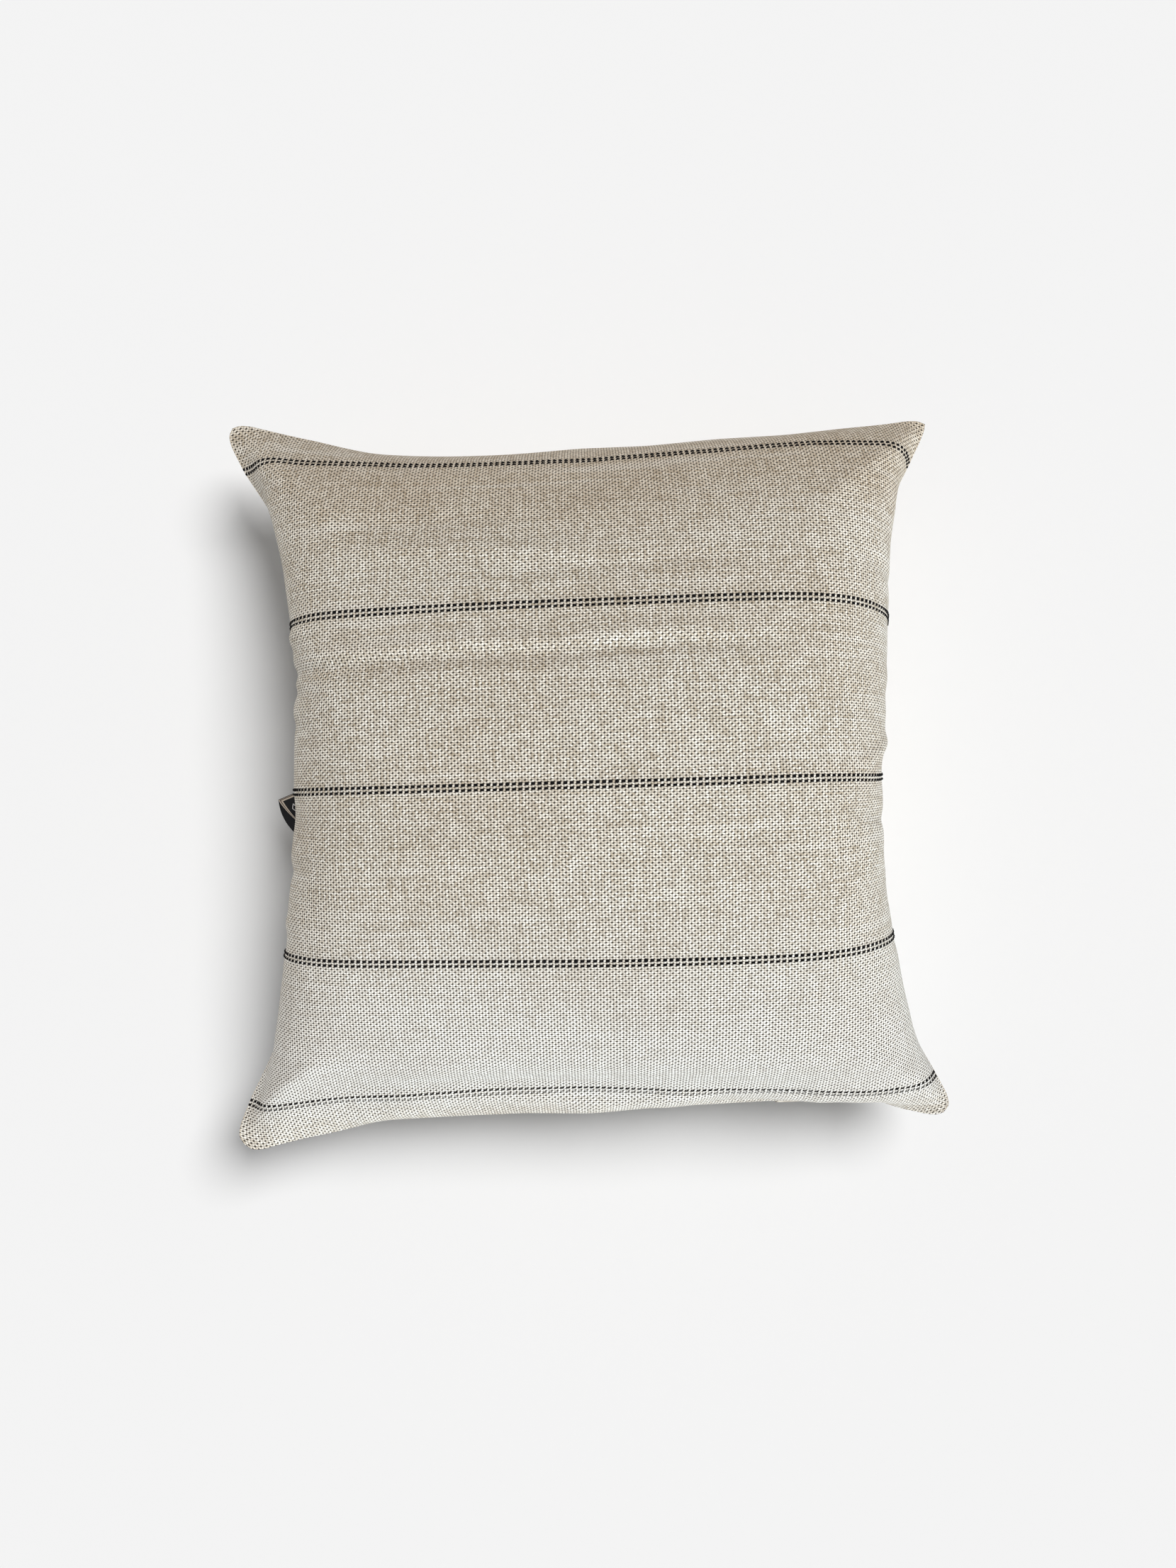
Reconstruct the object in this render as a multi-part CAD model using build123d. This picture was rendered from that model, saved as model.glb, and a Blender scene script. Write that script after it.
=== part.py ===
from build123d import *
import os
from math import atan2, cos, degrees, hypot, pi, sin

# A square throw pillow lying on its back panel. Millimetres, +Z up through the front panel, +Y towards
# the top edge, origin on the surface it rests on, below the middle of its box.

# ---- pillow ----
CORNERS = {
    "top_left": (-249, 249),
    "top_right": (236, 252),
    "bottom_right": (249, -230),
    "bottom_left": (-241, -252),
}
SIDE_FRACTIONS = (0.2, 0.5, 0.8)  # where each free side's pull-in is given, along the side
TOP_BOWS = (18, 17, 7)  # from the left corner
LEFT_BOWS = (36, 42, 28)  # from the top corner
RIGHT_BOWS = (28, 33, 27)  # from the top corner
ZIP_SIDE_BOW = 12.4  # the zipped side is straight between its two ends
ZIP_SIDE_POWER = 8
SEAM_Z = 68
CROWN_Z = 155
BELLY = 78  # depth of the lower half below the seam if nothing flattened it
DOME_STEPS = 20  # spans across a half's surface, each way

# ---- layers, as distances in from the outside of the cover ----
COVER_THICKNESS = 1.0
CASING_INSET = 2.6
CASING_THICKNESS = 0.5
FILLING_INSET = 3.4
FILLING_STEP = 0.3  # the filling's lower half is this much smaller, so that its halves join cleanly
ZIP_ROOM = 6.0  # the insert stands this much further back along the zip
COVER_THREAD = (1.2, 1.6)
INSERT_THREAD = (1.95, 2.35)
THREAD_HEIGHT = 0.4

# ---- zip, in its own frame: X along it, Y into the pillow from the seam line, Z up from its middle ----
ZIP_DROP = 8  # the zip's middle below the seam
ZIP_LENGTH = 330
TAPE_Y = (3.6, 4.2)
TAPE_Z = (0.8, 7.2)
COIL_Y = (1.2, 3.6)
COIL_Z = (0.6, 2.8)
CHAIN_END = 158  # each way from the middle
STOP_LENGTH = 2.4
STOP_GAP = 0.3
STITCH_Y = (3.2, 3.6)
STITCH_Z = (5.4, 5.8)
NOTCH_LENGTH = 334
NOTCH_DEPTH = 16

# ---- slider and pull, at rest at the closed end ----
SLIDER_X = 152.5
SLIDER_LENGTH = 9.0
SLIDER_HALF_WIDTH = 4.2
SLIDER_NOSE = 3.0  # corner radius of its plates
OUTER_PLATE_Y = (-0.2, 0.8)
INNER_PLATE_Y = (4.6, 5.4)
FLANGE_THICKNESS = 1.0
FLANGE_Y = (0.7, 3.2)
POST_LENGTH = 2.5
POST_WIDTH = 0.5
LUG_HALF_LENGTH = 3.0
LUG_WIDTH = 2.0
LUG_TOP_Y = -2.5
LUG_THICKNESS = 0.8
PIN_Y = -0.95
PIN_RADIUS = 0.5
PULL_THICKNESS = 0.9
PULL_LENGTH = 24.0
PULL_HALF_WIDTH = 2.9
EYE_LENGTH = 4.0
EYE_HALF_WIDTH = 1.4
EYE_BAR = 0.9

# ---- loop label on the left side ----
LABEL_Y = -19
LABEL_Z = 62  # below the widest part of the side
LABEL_WIDTH = 28
LABEL_REACH = 14
LABEL_LAYER = 0.35
LABEL_GAP = 0.5
LABEL_CLEARANCE = 1.6


def smooth_bow(bows):
    """The pull-in along a side: zero at both corners, and the given values at SIDE_FRACTIONS."""
    knots = (0, *SIDE_FRACTIONS, 1)
    values = (0, *bows, 0)

    def bow(t):
        total = 0
        for i, (here, value) in enumerate(zip(knots, values)):
            weight = 1
            for j, other in enumerate(knots):
                if j != i:
                    weight *= (t - other) / (here - other)
            total += value * weight
        return total

    return bow


def flat_bow(depth):
    """The pull-in of the zipped side, level except near its corners."""
    return lambda t: depth * (1 - abs(2 * t - 1) ** ZIP_SIDE_POWER)


def outline(inset, zip_room=0.0):
    """The four sides of a layer's outline, each a function of 0 to 1."""
    corner = {}
    for name, (x, y) in CORNERS.items():
        corner[name] = (x - inset if x > 0 else x + inset, y - inset if y > 0 else y + inset)

    def side(start, end, bow, turn):
        (x0, y0), (x1, y1) = corner[start], corner[end]
        length = hypot(x1 - x0, y1 - y0)
        inward = (-turn * (y1 - y0) / length, turn * (x1 - x0) / length)
        return lambda t: (
            x0 + (x1 - x0) * t + inward[0] * bow(t),
            y0 + (y1 - y0) * t + inward[1] * bow(t),
        )

    return {
        "top": side("top_left", "top_right", smooth_bow(TOP_BOWS), -1),
        "bottom": side("bottom_left", "bottom_right", flat_bow(ZIP_SIDE_BOW + zip_room), 1),
        "left": side("top_left", "bottom_left", smooth_bow(LEFT_BOWS), 1),
        "right": side("top_right", "bottom_right", smooth_bow(RIGHT_BOWS), -1),
    }


def spread(step):
    """Even steps round a half circle, seen from above: close together at the seam."""
    return (1 - cos(pi * step / DOME_STEPS)) / 2


def dome(rise, inset, zip_room=0.0):
    """A solid half of a layer: flat at the seam's height, and crowned upwards or, if rise is negative, down."""
    sides = outline(inset, zip_room)
    rows = []
    for j in range(DOME_STEPS + 1):
        v = spread(j)
        left, right = sides["left"](1 - v), sides["right"](1 - v)
        row = []
        for i in range(DOME_STEPS + 1):
            u = spread(i)
            low, high = sides["bottom"](u), sides["top"](u)
            point = []
            for k in range(2):
                across = (1 - u) * left[k] + u * right[k]
                along = (1 - v) * low[k] + v * high[k]
                corners = (1 - v) * ((1 - u) * sides["bottom"](0)[k] + u * sides["bottom"](1)[k])
                corners += v * ((1 - u) * sides["top"](0)[k] + u * sides["top"](1)[k])
                point.append(across + along - corners)
            height = rise * sin(pi * i / DOME_STEPS) * sin(pi * j / DOME_STEPS)
            row.append((*point, SEAM_Z + height))
        rows.append(row)
    if rise < 0:
        rows.reverse()  # the curved face points outwards either way
    crown = Face.make_surface_from_array_of_points(rows, tol=0.01, min_deg=3, max_deg=3)
    floor = Face(Wire(crown.edges()))
    return Solid(Shell([crown, floor]))


def front_dome(inset, zip_room=0.0):
    return dome(CROWN_Z - SEAM_Z - inset, inset, zip_room)


def back_dome(inset, zip_room=0.0):
    """The lower half, flattened where it rests."""
    wide = 600
    below = Pos(0, 0, inset) * Box(wide, wide, wide, align=(Align.CENTER, Align.CENTER, Align.MAX))
    return dome(-(BELLY - inset), inset, zip_room) - below


def edge_ring(near, far, zip_room=0.0):
    """A flat ribbon of thread just inside the seam, between two insets."""
    rings = []
    for inset in (near, far):
        sides = outline(inset, zip_room)
        edges = []
        for name in ("top", "right", "bottom", "left"):
            points = [sides[name](spread(i)) for i in range(DOME_STEPS + 1)]
            edges.append(Spline(*[(x, y, SEAM_Z - THREAD_HEIGHT / 2) for x, y in points]))
        rings.append(Face(Wire(edges)))
    return extrude(rings[0] - rings[1], THREAD_HEIGHT, dir=(0, 0, 1))


def block(x, y, z):
    """A box between two values on each axis."""
    corner = Pos(x[0], y[0], z[0])
    return corner * Box(x[1] - x[0], y[1] - y[0], z[1] - z[0], align=(Align.MIN,) * 3)


def mirrored(z):
    return (-z[1], -z[0])


# ---- the zip's frame ----
zip_start, zip_end = CORNERS["bottom_left"], CORNERS["bottom_right"]
zip_tilt = atan2(zip_end[1] - zip_start[1], zip_end[0] - zip_start[0])
zip_middle = (
    (zip_start[0] + zip_end[0]) / 2 - ZIP_SIDE_BOW * sin(zip_tilt),
    (zip_start[1] + zip_end[1]) / 2 + ZIP_SIDE_BOW * cos(zip_tilt),
)
zip_place = Pos(*zip_middle, SEAM_Z - ZIP_DROP) * Rot(0, 0, degrees(zip_tilt))


def cover_panels():
    front = front_dome(0) - front_dome(COVER_THICKNESS)
    back = back_dome(0) - back_dome(COVER_THICKNESS)
    half = NOTCH_LENGTH / 2
    notch = block((-half, half), (-30, 30), (ZIP_DROP - NOTCH_DEPTH, ZIP_DROP))
    return front, back - zip_place * notch


def casing_panels():
    inner = CASING_INSET + CASING_THICKNESS
    front = front_dome(CASING_INSET, ZIP_ROOM) - front_dome(inner, ZIP_ROOM)
    back = back_dome(CASING_INSET, ZIP_ROOM) - back_dome(inner, ZIP_ROOM)
    return front, back


def filling():
    return front_dome(FILLING_INSET, ZIP_ROOM) + back_dome(FILLING_INSET + FILLING_STEP, ZIP_ROOM)


def cover_thread():
    """Three sides only: the zip closes the fourth."""
    fourth = block((-ZIP_LENGTH, ZIP_LENGTH), (-40, 12), (-20, 20))
    return edge_ring(*COVER_THREAD) - zip_place * fourth


def strip(y, z, start=-ZIP_LENGTH / 2, end=ZIP_LENGTH / 2):
    return zip_place * block((start, end), y, z)


def slider():
    """Two plates joined by a post that runs between the coils, with flanges and a lug for the pull."""
    half = SLIDER_LENGTH / 2
    wide = (-SLIDER_HALF_WIDTH, SLIDER_HALF_WIDTH)
    body = block((-half, half), OUTER_PLATE_Y, wide) + block((-half, half), INNER_PLATE_Y, wide)
    body = fillet(body.edges().filter_by(Axis.Y), SLIDER_NOSE)
    flange = (SLIDER_HALF_WIDTH - FLANGE_THICKNESS, SLIDER_HALF_WIDTH)
    straight = half - SLIDER_NOSE
    for z in (flange, mirrored(flange)):
        body += block((-straight, straight), FLANGE_Y, z)
    post = POST_WIDTH / 2
    body += block((-POST_LENGTH / 2, POST_LENGTH / 2), (OUTER_PLATE_Y[1], INNER_PLATE_Y[0]), (-post, post))
    lug = block((-LUG_HALF_LENGTH, LUG_HALF_LENGTH), (LUG_TOP_Y, OUTER_PLATE_Y[0]), (-LUG_WIDTH / 2, LUG_WIDTH / 2))
    inside = LUG_HALF_LENGTH - LUG_THICKNESS
    under = (LUG_TOP_Y + LUG_THICKNESS, OUTER_PLATE_Y[0])
    lug -= block((-inside, inside), under, (-LUG_WIDTH, LUG_WIDTH))
    return zip_place * Pos(SLIDER_X, 0, 0) * (body + lug)


def pull_tab():
    """A plate with an eye round the slider's lug: the pin across its end passes under the lug."""
    outer = EYE_HALF_WIDTH + EYE_BAR
    thick = (PIN_Y - PULL_THICKNESS / 2, PIN_Y + PULL_THICKNESS / 2)
    pin = Pos(0, PIN_Y, 0) * Cylinder(PIN_RADIUS, 2 * outer)
    bars = block((-EYE_LENGTH, 0), thick, (-outer, outer))
    bars -= block((-EYE_LENGTH, 0), (-10, 10), (-EYE_HALF_WIDTH, EYE_HALF_WIDTH))
    plate = block((-PULL_LENGTH, -EYE_LENGTH), thick, (-PULL_HALF_WIDTH, PULL_HALF_WIDTH))
    plate = fillet(plate.edges().filter_by(Axis.Y).group_by(Axis.X)[0], PULL_HALF_WIDTH * 0.8)
    return zip_place * Pos(SLIDER_X, 0, 0) * (pin + bars + plate)


def stops():
    """One small clamp on each coil at the closed end."""
    start = CHAIN_END + STOP_GAP
    clamps = [strip(COIL_Y, z, start, start + STOP_LENGTH) for z in (COIL_Z, mirrored(COIL_Z))]
    return Compound(children=clamps)


def label():
    """A strip of tape folded in two round its outer edge."""
    t = (CORNERS["top_left"][1] - LABEL_Y) / (CORNERS["top_left"][1] - CORNERS["bottom_left"][1])
    edge_x = outline(0)["left"](t)[0] - LABEL_CLEARANCE
    high = LABEL_LAYER + LABEL_GAP / 2
    y = (LABEL_Y - LABEL_WIDTH / 2, LABEL_Y + LABEL_WIDTH / 2)
    fold_x = edge_x - LABEL_REACH + high

    def folded(radius):
        roll = Pos(fold_x, LABEL_Y, LABEL_Z) * Rot(90, 0, 0) * Cylinder(radius, LABEL_WIDTH)
        return roll + block((fold_x, edge_x), y, (LABEL_Z - radius, LABEL_Z + radius))

    return folded(high) - folded(LABEL_GAP / 2), edge_x + LABEL_CLEARANCE / 2


front_panel, back_panel = cover_panels()
casing_front, casing_back = casing_panels()
label_solid, label_hinge_x = label()
chain = (-CHAIN_END, CHAIN_END)

nodes = {
    "cover_front_panel": front_panel,
    "cover_back_panel": back_panel,
    "cover_seam_thread": cover_thread(),
    "woven_label": label_solid,
    "zipper_tape_front": strip(TAPE_Y, TAPE_Z),
    "zipper_tape_back": strip(TAPE_Y, mirrored(TAPE_Z)),
    "zipper_coil_front": strip(COIL_Y, COIL_Z, *chain),
    "zipper_coil_back": strip(COIL_Y, mirrored(COIL_Z), *chain),
    "zipper_stitching_front": strip(STITCH_Y, STITCH_Z),
    "zipper_stitching_back": strip(STITCH_Y, mirrored(STITCH_Z)),
    "zipper_top_stops": stops(),
    "zipper_bottom_stop": strip(
        COIL_Y, (-COIL_Z[1], COIL_Z[1]), -CHAIN_END - STOP_GAP - STOP_LENGTH, -CHAIN_END - STOP_GAP
    ),
    "zipper_slider_body": slider(),
    "zipper_pull_tab": pull_tab(),
    "insert_casing_front": casing_front,
    "insert_casing_back": casing_back,
    "insert_seam_thread": edge_ring(*INSERT_THREAD, ZIP_ROOM),
    "fibre_filling": filling(),
}

os.makedirs("parts", exist_ok=True)
for name, shape in nodes.items():
    export_step(shape, f"parts/{name}.step")

pull_axis = (zip_place * Pos(SLIDER_X, PIN_Y, 0)).position
print("zip direction", (round(cos(zip_tilt), 6), round(sin(zip_tilt), 6), 0))
print("pull axis at", tuple(round(c, 3) for c in pull_axis))
print("label hinge at", (round(label_hinge_x, 3), LABEL_Y, LABEL_Z))
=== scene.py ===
import math

import bpy
import numpy as np
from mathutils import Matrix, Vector


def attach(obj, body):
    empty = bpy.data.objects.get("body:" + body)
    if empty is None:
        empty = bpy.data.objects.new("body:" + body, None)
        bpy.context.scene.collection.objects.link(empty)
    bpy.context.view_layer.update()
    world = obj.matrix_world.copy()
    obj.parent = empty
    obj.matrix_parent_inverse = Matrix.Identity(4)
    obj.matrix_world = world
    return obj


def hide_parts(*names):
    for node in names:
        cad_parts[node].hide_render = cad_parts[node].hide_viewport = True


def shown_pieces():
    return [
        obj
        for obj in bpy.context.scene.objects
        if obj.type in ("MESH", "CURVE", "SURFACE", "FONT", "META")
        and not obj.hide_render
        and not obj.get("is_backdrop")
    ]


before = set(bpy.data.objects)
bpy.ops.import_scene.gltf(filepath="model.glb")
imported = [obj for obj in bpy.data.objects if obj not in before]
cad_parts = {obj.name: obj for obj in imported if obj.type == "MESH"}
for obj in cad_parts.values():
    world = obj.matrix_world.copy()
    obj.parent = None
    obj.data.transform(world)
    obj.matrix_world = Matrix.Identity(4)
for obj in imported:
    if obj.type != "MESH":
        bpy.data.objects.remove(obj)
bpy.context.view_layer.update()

# A square throw pillow lying on its back panel. Metres, in the CAD model's frame: +Z up through the front
# panel, +Y towards the top edge. The cover is cut flat, sewn, filled by cloth simulation, and then given
# its folds, its black weft yarns, its seam and its zip.

RANDOM = np.random.default_rng(11)

# ---- sewn outline of the cover, as in the CAD model ----
CORNERS = {
    "top_left": (-0.249, 0.249),
    "top_right": (0.236, 0.252),
    "bottom_right": (0.249, -0.230),
    "bottom_left": (-0.241, -0.252),
}
SIDE_FRACTIONS = (0.2, 0.5, 0.8)
TOP_BOWS = (0.018, 0.017, 0.007)
LEFT_BOWS = (0.036, 0.042, 0.028)
RIGHT_BOWS = (0.028, 0.033, 0.027)
ZIP_SIDE_BOW = 0.0124
ZIP_SIDE_POWER = 8
SEAM_Z = 0.068
SEAM_DIP = 0.008
TIP_ROUNDING = 0.012

# how far the filled cover's seam stands out from that outline, in mm, at these fractions along each side
EASE_AT = (0.0, 0.06, 0.12, 0.2, 0.3, 0.4, 0.5, 0.6, 0.7, 0.8, 0.88, 0.94, 1.0)
EASE = {
    "left": (8, 7.5, 1, -6, -8, -6.5, -7, -9, -14, -13, 1, 9, 8),
    "right": (10, 7.5, 0.5, -5, -9, -11, -9, 0, 4, -3, -5.5, 1, 3),
    "top": (5, 6, 5.5, 1.5, 1.5, 2, 3.5, 2, 3, 2, 3, 3, 4),
    "bottom": (9, 9.5, 8, 2, 1.5, 1.5, 4, 1.5, 1, -1, -3, 5, 5),
}
CROWN_RISE = 0.087
BELLY_DROP = 0.059

# ---- cloth ----
WARPS = 250
WEFTS = 317
CELLS = 104
FINE = 3
CUT_ACROSS = 0.511
CUT_ALONG = 0.529
CUT_TAPER = 0.03
CROWN_PUSH = 0.25
PRESSURE = 1000
DRAW_FRAMES = 14
SETTLE_FRAMES = 42
SMOOTHING_PASSES = 5
FLOOR_GAP = 0.0003

# how far the crown pushes the weave towards the bottom edge, and the zip's lip pulls it back, as fractions
WEFT_BOW = 0.009
LIP_PULL = 0.016

# soft folds: place across and up the panel, half length, half width, turn in degrees, height in mm
FOLDS = (
    (0.36, 0.658, 0.36, 0.0100, 1.0, -3.2),
    (0.40, 0.677, 0.30, 0.0110, 1.0, 1.6),
    (0.07, 0.628, 0.09, 0.0110, -6.0, -2.3),
    (0.06, 0.700, 0.08, 0.0110, 6.0, 2.4),
    (0.07, 0.585, 0.07, 0.0100, -9.0, -1.6),
    (0.06, 0.390, 0.08, 0.0120, 10.0, -1.8),
    (0.06, 0.320, 0.07, 0.0110, 14.0, 1.6),
    (0.36, 0.800, 0.15, 0.0120, -2.0, 1.9),
    (0.30, 0.838, 0.13, 0.0110, 2.0, -1.6),
    (0.52, 0.770, 0.18, 0.0120, 1.0, -1.3),
    (0.62, 0.420, 0.14, 0.0120, 7.0, -1.2),
    (0.93, 0.540, 0.07, 0.0100, 20.0, 2.0),
    (0.94, 0.440, 0.07, 0.0110, -12.0, -1.6),
    (0.94, 0.770, 0.06, 0.0110, -10.0, -1.6),
    (0.10, 0.905, 0.11, 0.0180, -42.0, 3.0),
    (0.90, 0.910, 0.10, 0.0170, 40.0, 2.4),
    (0.07, 0.085, 0.09, 0.0150, 38.0, 2.8),
    (0.92, 0.085, 0.09, 0.0160, -42.0, 2.4),
    (0.50, 0.075, 0.36, 0.0420, 0.0, -4.5),
    (0.33, 0.050, 0.17, 0.0120, -4.0, 1.8),
    (0.62, 0.045, 0.13, 0.0120, 5.0, 1.6),
    (0.49, 0.020, 0.03, 0.0200, 0.0, 2.5),
    (0.73, 0.025, 0.09, 0.0400, 0.0, -5.5),
)
# on the front panel alone: the lip that hides the zip's pull from above
PULL_COVER = (0.79, 0.030, 0.04, 0.0300, 0.0, 1.8)
# on the back panel alone: the hollow that the pull lies in when it is flipped over
PULL_ROOM = (0.86, 0.020, 0.05, 0.0400, 0.0, -3.5)

# ---- black weft yarns: in each stripe two rows, with one plain row between them ----
FIRST_STRIPE_ROW = 18
STRIPE_ROWS = 70
STRIPES = 5
YARN_HALF_WIDTHS = (0.00108, 0.00074)
YARN_FLATNESS = 0.6
DASH_SHARE = 0.72
YARN_DIP = 0.0006

# ---- seam thread ----
THREAD_RADIUS = 0.00022
STITCH_DEPTH = 0.00035
THREAD_INSET = 0.9985

# ---- zip, in its own frame: X along it, Y into the pillow, Z up from its middle ----
ZIP_DROP = 0.008
SLIT = (0.160, 0.840)
SLIT_BLEND = 0.014
SLIT_HALF_HEIGHT = 0.0048
SLIT_DEPTH = 0.001
ZIP_HALF_LENGTH = 0.165
CHAIN_HALF_LENGTH = 0.158
COIL_PITCH = 0.0013
COIL_Y = (0.0012, 0.0036)
COIL_Z = (0.00035, 0.0028)
TAPE_Y = (0.0036, 0.0042)


# ---------------------------------------------------------------- outline of the seam
def bow_curve(bows):
    """The quartic that is zero at both corners and has the given pull-ins at SIDE_FRACTIONS."""
    return np.poly1d(np.polyfit((0.0, *SIDE_FRACTIONS, 1.0), (0.0, *bows, 0.0), 4))


def hump(t, power=4):
    """One in the middle of a side, zero at its corners."""
    return 1.0 - np.abs(2.0 * t - 1.0) ** power


def ease_curve(name):
    """A smooth curve through a side's ease, in metres outwards."""
    t = np.linspace(-0.2, 1.2, 701)
    steps = np.interp(t, EASE_AT, EASE[name]) / 1000
    blur = np.exp(-(np.linspace(-2.5, 2.5, 41) ** 2))
    smooth = np.convolve(steps, blur / blur.sum(), "same")
    return lambda x: np.interp(x, t, smooth)


def side_curve(start, end, bow, ease, inward):
    """Plan of one side of the seam, as a function of the fraction along it."""
    start, end = np.array(CORNERS[start]), np.array(CORNERS[end])
    chord = end - start
    length = np.hypot(*chord)
    normal = inward * np.array((-chord[1], chord[0])) / length

    def curve(t):
        t = np.asarray(t, float)
        along = t[..., None]
        tip = np.sqrt(np.clip(np.minimum(along, 1 - along) * length / TIP_ROUNDING, 0.0, 1.0))
        return start * (1 - along) + end * along + normal * (bow(along) - tip * ease(along))

    return curve


SIDES = {
    "top": side_curve("top_left", "top_right", bow_curve(TOP_BOWS), ease_curve("top"), -1),
    "bottom": side_curve(
        "bottom_left",
        "bottom_right",
        lambda t: ZIP_SIDE_BOW * hump(t, ZIP_SIDE_POWER),
        ease_curve("bottom"),
        1,
    ),
    "left": side_curve("bottom_left", "top_left", bow_curve(LEFT_BOWS[::-1]), ease_curve("left"), -1),
    "right": side_curve("bottom_right", "top_right", bow_curve(RIGHT_BOWS[::-1]), ease_curve("right"), 1),
}


def side_length(name):
    return np.hypot(*np.diff(SIDES[name](np.linspace(0.0, 1.0, 400)), axis=0).T).sum()


def slit_opening(t):
    """One along the zip, zero where the bottom seam is sewn shut."""
    inside = np.minimum(t - SLIT[0], SLIT[1] - t) / SLIT_BLEND
    inside = np.clip(inside, 0.0, 1.0)
    return inside * inside * (3 - 2 * inside)


def seam_line(name, t, up):
    """The sewn edge of one panel along one side: up is 1 for the front panel and -1 for the back."""
    z = SEAM_Z - SEAM_DIP * hump(t)
    plan = SIDES[name](t)
    if name == "bottom":
        open_here = slit_opening(t)
        z = z + open_here * (SEAM_Z - ZIP_DROP + up * SLIT_HALF_HEIGHT - z)
        plan = plan + open_here[..., None] * SLIT_DEPTH * ZIP_INWARD[:2]
    return np.concatenate([plan, z[..., None]], -1)


# ---------------------------------------------------------------- the zip's frame
zip_start, zip_end = np.array(CORNERS["bottom_left"]), np.array(CORNERS["bottom_right"])
zip_chord = (zip_end - zip_start) / np.hypot(*(zip_end - zip_start))
ZIP_ALONG = np.array((zip_chord[0], zip_chord[1], 0.0))
ZIP_INWARD = np.array((-zip_chord[1], zip_chord[0], 0.0))
ZIP_UP = np.array((0.0, 0.0, 1.0))
ZIP_MIDDLE = np.append((zip_start + zip_end) / 2, SEAM_Z - ZIP_DROP) + ZIP_SIDE_BOW * ZIP_INWARD


def zip_points(x, y, z):
    """Points given in the zip's frame, in the pillow's."""
    x, y, z = np.broadcast_arrays(x, y, z)
    return ZIP_MIDDLE + x[..., None] * ZIP_ALONG + y[..., None] * ZIP_INWARD + z[..., None] * ZIP_UP


# ---------------------------------------------------------------- mesh helpers
def add_mesh(name, points, faces, material, body=None, smooth=True):
    mesh = bpy.data.meshes.new(name)
    mesh.from_pydata(np.asarray(points).reshape(-1, 3).tolist(), [], faces)
    if smooth:
        mesh.shade_smooth()
    if material is not None:
        mesh.materials.append(material)
    piece = bpy.data.objects.new(name, mesh)
    bpy.context.scene.collection.objects.link(piece)
    if body is not None:
        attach(piece, body)
    return piece


def write_layer(piece, name, values):
    """Gives each point of a piece a vector that its material reads."""
    layer = piece.data.attributes.new(name, "FLOAT_VECTOR", "POINT")
    layer.data.foreach_set("vector", np.asarray(values).reshape(-1).astype(np.float32))


def add_thickness(piece, thickness):
    solid = piece.modifiers.new("thickness", "SOLIDIFY")
    solid.thickness = thickness


def grid_faces(rows, columns, flip=False, first=0):
    """Quads over a grid of rows x columns points."""
    corner = first + np.arange(rows - 1)[:, None] * columns + np.arange(columns - 1)[None]
    faces = np.stack([corner, corner + 1, corner + columns + 1, corner + columns], -1).reshape(-1, 4)
    return (faces[:, ::-1] if flip else faces).tolist()


def tube_faces(rings, sides, first=0, closed=False):
    """Quads round a tube of rings, with its two ends capped unless it closes on itself."""
    faces = []
    last = rings if closed else rings - 1
    for ring in range(last):
        here, there = first + ring * sides, first + (ring + 1) % rings * sides
        for k in range(sides):
            after = (k + 1) % sides
            faces.append((here + k, here + after, there + after, there + k))
    if not closed:
        faces.append([first + k for k in range(sides)][::-1])
        faces.append([first + (rings - 1) * sides + k for k in range(sides)])
    return faces


def unit(vectors):
    return vectors / np.maximum(np.linalg.norm(vectors, axis=-1, keepdims=True), 1e-12)


def tube_points(path, side, over, half_widths, half_heights, sides):
    """Rings of an oval tube along a path, with its own sideways and upward directions."""
    angle = np.linspace(0, 2 * np.pi, sides, endpoint=False)
    wide = side[:, None] * np.cos(angle)[None, :, None] * np.reshape(half_widths, (-1, 1, 1))
    high = over[:, None] * np.sin(angle)[None, :, None] * np.reshape(half_heights, (-1, 1, 1))
    return path[:, None] + wide + high


def bare_tube(path, radius, sides, up=(0.0, 0.0, 1.0)):
    """A round tube along a path that never runs straight up."""
    along = unit(np.gradient(path, axis=0))
    side = unit(np.cross(along, np.broadcast_to(up, along.shape)))
    return tube_points(path, side, np.cross(side, along), radius, radius, sides)


class Bundle:
    """Several tubes gathered in one mesh."""

    def __init__(self):
        self.points, self.faces, self.count = [], [], 0

    def add(self, rings):
        self.points.append(rings.reshape(-1, 3))
        self.faces += tube_faces(rings.shape[0], rings.shape[1], self.count)
        self.count += rings.shape[0] * rings.shape[1]

    def build(self, name, material, body):
        return add_mesh(name, np.concatenate(self.points), self.faces, material, body)


def refine(grid, factor):
    """The grid with factor times as many cells each way, on Catmull-Rom curves through its points."""

    def along_rows(g):
        cells = g.shape[0] - 1
        padded = np.concatenate([2 * g[:1] - g[1:2], g, 2 * g[-1:] - g[-2:-1]])
        t = np.linspace(0, cells, cells * factor + 1)
        i = np.minimum(t.astype(int), cells - 1)
        f = (t - i)[:, None, None]
        a, b, c, d = padded[i], padded[i + 1], padded[i + 2], padded[i + 3]
        square, cube = 2 * a - 5 * b + 4 * c - d, 3 * b - a - 3 * c + d
        return 0.5 * (2 * b + (c - a) * f + square * f**2 + cube * f**3)

    return along_rows(along_rows(grid).transpose(1, 0, 2)).transpose(1, 0, 2)


def grid_normals(grid, up):
    """Outward normals of a panel's grid."""
    across, along = np.gradient(grid, axis=1), np.gradient(grid, axis=0)
    return unit(np.cross(across, along)) * up


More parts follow.
